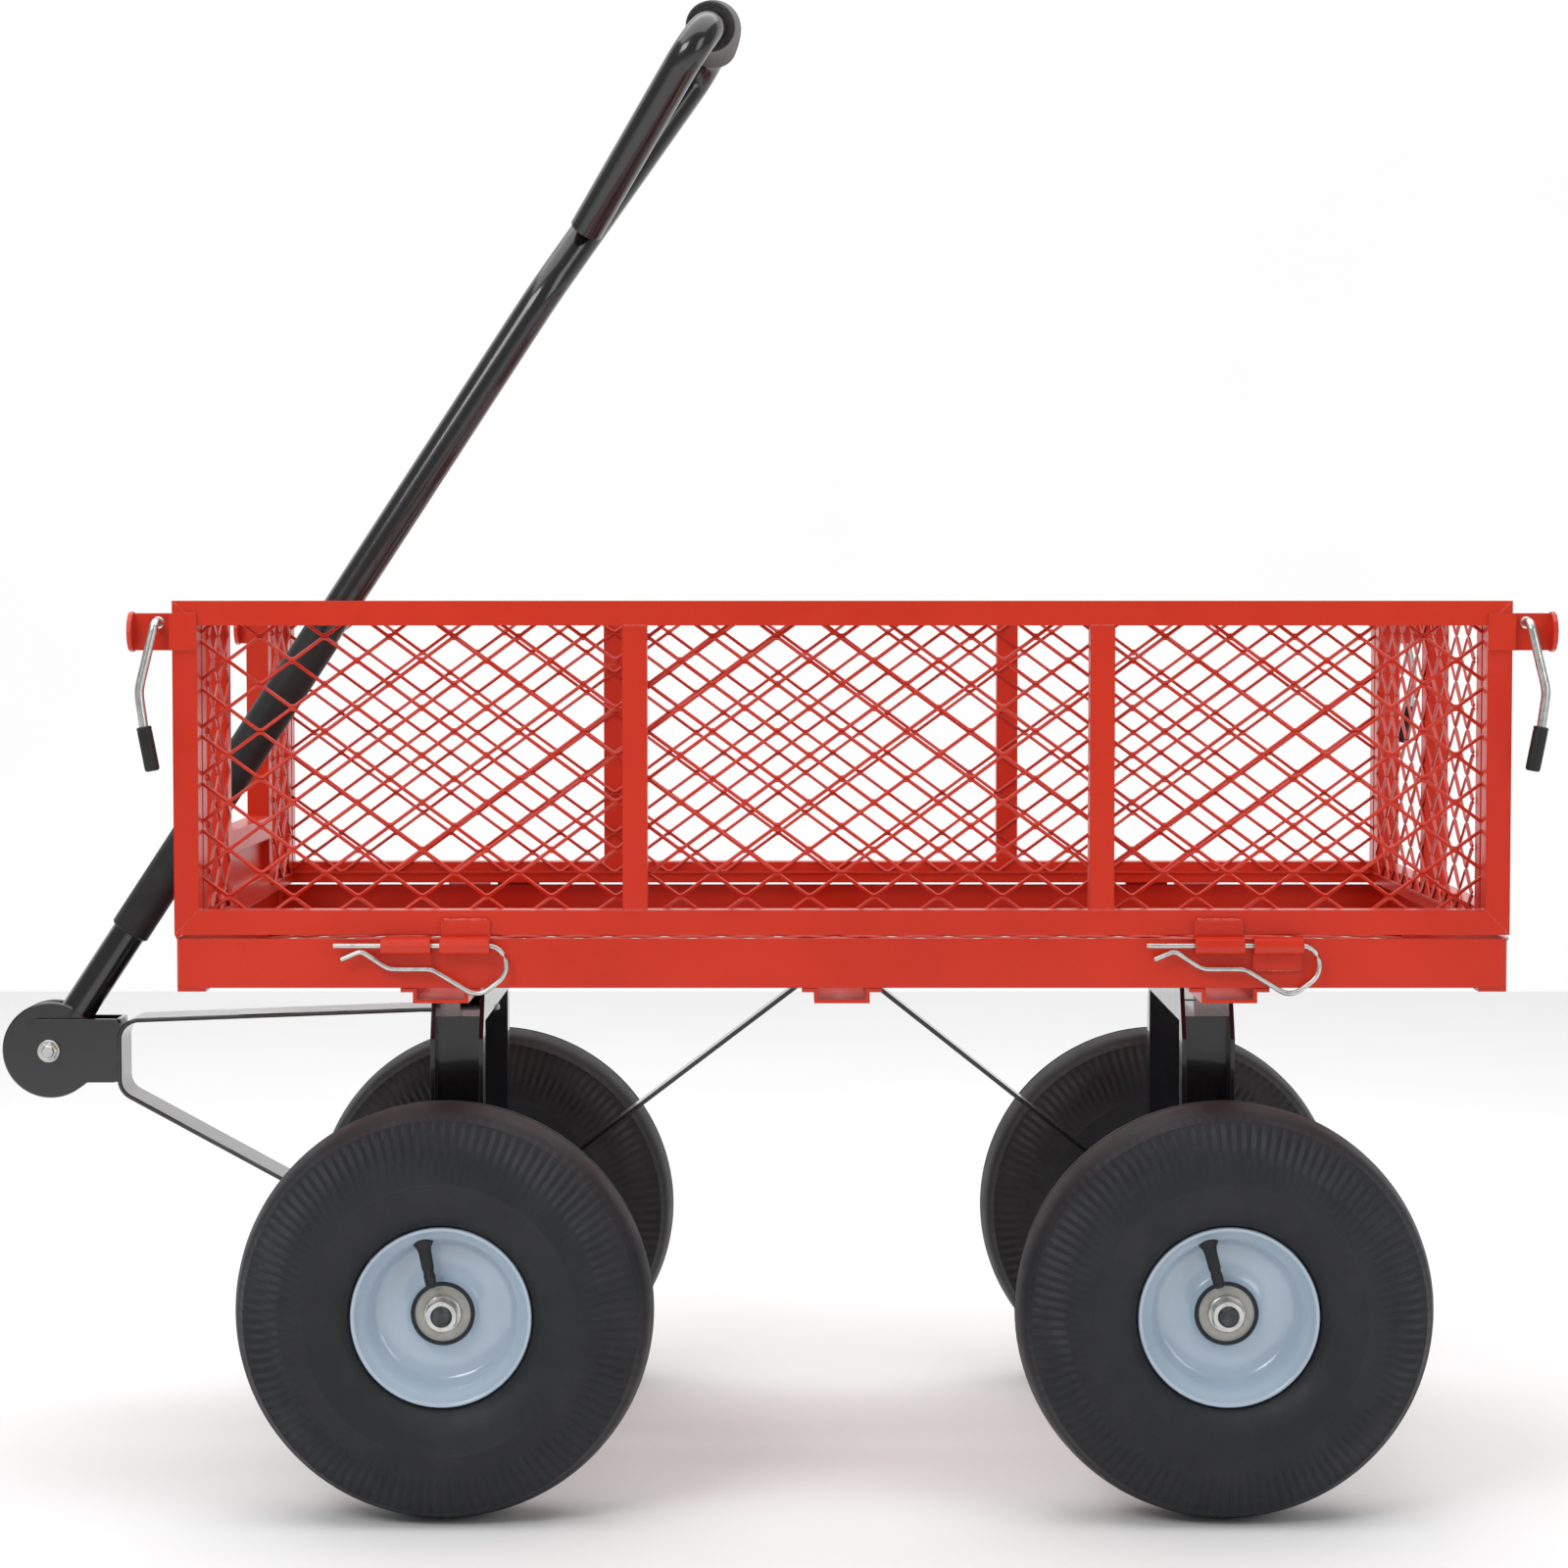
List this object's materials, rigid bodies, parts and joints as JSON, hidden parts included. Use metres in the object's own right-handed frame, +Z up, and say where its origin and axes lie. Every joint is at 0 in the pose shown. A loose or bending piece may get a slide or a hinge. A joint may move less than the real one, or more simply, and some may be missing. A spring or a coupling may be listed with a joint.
{
  "type": "wagon with pull handle",
  "caption": "Steel mesh utility wagon with fold-down sides, a steered front axle on pneumatic wheels and a folding pull handle with a foam grip.",
  "frame": {"origin": "on the ground under the middle of the whole wagon's box, handle parked", "axes": "+Z up, +X from the handle end to the rear panel, +Y across to the wagon's far side"},
  "size_m": [1.0518, 0.502, 1.0152],
  "materials": {
    "red_paint": "gloss red paint",
    "black_paint": "gloss black paint",
    "zinc": "bright zinc plate",
    "enamel": "gloss pale blue-grey enamel",
    "tyre_rubber": "matt black rubber",
    "grip_foam": "charcoal foam",
    "grip_rubber": "matt black rubber sleeve"
  },
  "bodies": {
    "bed": {"bed_frame": "red_paint", "floor_mesh": "red_paint", "cross_member_front": "red_paint", "cross_member_middle": "red_paint", "cross_member_rear": "red_paint", "front_panel_frame": "red_paint", "front_panel_mesh_left": "red_paint", "front_panel_mesh_right": "red_paint", "hinge_clip_left_1": "zinc", "hinge_clip_left_2": "zinc", "hinge_clip_right_1": "zinc", "hinge_clip_right_2": "zinc", "hinge_clip_front_1": "zinc", "hinge_clip_front_2": "zinc", "hinge_clip_rear_1": "zinc", "hinge_clip_rear_2": "zinc", "front_bolster": "black_paint", "rear_bolster": "black_paint", "front_brace": "black_paint", "rear_brace": "black_paint", "rear_axle": "black_paint", "upper_king_bolt": "zinc", "lower_king_bolt": "zinc", "rear_axle_bolt": "zinc", "rear_left_axle_nut": "zinc", "rear_right_axle_nut": "zinc"},
    "steering": {"tongue": "black_paint", "front_axle": "black_paint", "handle_bolt": "zinc", "front_left_axle_nut": "zinc", "front_right_axle_nut": "zinc"},
    "handle": {"handle_shaft": "black_paint", "handle_sleeve": "black_paint", "handle_grip": "grip_foam"},
    "left_panel": {"left_panel_frame": "red_paint", "left_panel_mesh": "red_paint"},
    "right_panel": {"right_panel_frame": "red_paint", "right_panel_mesh": "red_paint"},
    "rear_panel": {"rear_panel_frame": "red_paint", "rear_panel_mesh": "red_paint"},
    "latch_left_front": {"latch_lever_left_front": "zinc", "latch_grip_left_front": "grip_rubber"},
    "latch_left_rear": {"latch_lever_left_rear": "zinc", "latch_grip_left_rear": "grip_rubber"},
    "latch_right_front": {"latch_lever_right_front": "zinc", "latch_grip_right_front": "grip_rubber"},
    "latch_right_rear": {"latch_lever_right_rear": "zinc", "latch_grip_right_rear": "grip_rubber"},
    "front_left_wheel": {"front_left_tyre": "tyre_rubber", "front_left_rim": "enamel", "front_left_bearing": "zinc"},
    "front_right_wheel": {"front_right_tyre": "tyre_rubber", "front_right_rim": "enamel", "front_right_bearing": "zinc"},
    "rear_left_wheel": {"rear_left_tyre": "tyre_rubber", "rear_left_rim": "enamel", "rear_left_bearing": "zinc"},
    "rear_right_wheel": {"rear_right_tyre": "tyre_rubber", "rear_right_rim": "enamel", "rear_right_bearing": "zinc"}
  },
  "joints": [
    {"name": "front_left_wheel_spin", "type": "hinge", "parent": "steering", "child": "front_left_wheel", "pos_m": [-0.19415, -0.207, 0.13713], "axis": [0, 1, 0], "continuous": true},
    {"name": "front_right_wheel_spin", "type": "hinge", "parent": "steering", "child": "front_right_wheel", "pos_m": [-0.19415, 0.207, 0.13713], "axis": [0, 1, 0], "continuous": true},
    {"name": "rear_left_wheel_spin", "type": "hinge", "parent": "bed", "child": "rear_left_wheel", "pos_m": [0.31685, -0.207, 0.13713], "axis": [0, 1, 0], "continuous": true},
    {"name": "rear_right_wheel_spin", "type": "hinge", "parent": "bed", "child": "rear_right_wheel", "pos_m": [0.31685, 0.207, 0.13713], "axis": [0, 1, 0], "continuous": true},
    {"name": "steering_turn", "type": "hinge", "parent": "bed", "child": "steering", "pos_m": [-0.19415, 0, 0.2], "axis": [0, 0, 1], "range_deg": [-12, 12]},
    {"name": "handle_swing", "type": "hinge", "parent": "steering", "child": "handle", "pos_m": [-0.49214, 0, 0.28333], "axis": [0, -1, 0], "range_deg": [0, 138]},
    {"name": "left_panel_fold", "type": "hinge", "parent": "bed", "child": "left_panel", "pos_m": [0.06585, -0.235, 0.37883], "axis": [1, 0, 0], "range_deg": [0, 165]},
    {"name": "right_panel_fold", "type": "hinge", "parent": "bed", "child": "right_panel", "pos_m": [0.06585, 0.235, 0.37883], "axis": [-1, 0, 0], "range_deg": [0, 165]},
    {"name": "rear_panel_fold", "type": "hinge", "parent": "bed", "child": "rear_panel", "pos_m": [0.50435, 0, 0.37883], "axis": [0, 1, 0], "range_deg": [0, 170]},
    {"name": "latch_left_front_swing", "type": "hinge", "parent": "left_panel", "child": "latch_left_front", "pos_m": [-0.37565, -0.2235, 0.58733], "axis": [0, 1, 0], "range_deg": [0, 110]},
    {"name": "latch_left_rear_swing", "type": "hinge", "parent": "left_panel", "child": "latch_left_rear", "pos_m": [0.50736, -0.2235, 0.58733], "axis": [0, -1, 0], "range_deg": [0, 110]},
    {"name": "latch_right_front_swing", "type": "hinge", "parent": "right_panel", "child": "latch_right_front", "pos_m": [-0.37565, 0.2235, 0.58733], "axis": [0, 1, 0], "range_deg": [0, 110]},
    {"name": "latch_right_rear_swing", "type": "hinge", "parent": "right_panel", "child": "latch_right_rear", "pos_m": [0.50736, 0.2235, 0.58733], "axis": [0, -1, 0], "range_deg": [0, 110]}
  ]
}
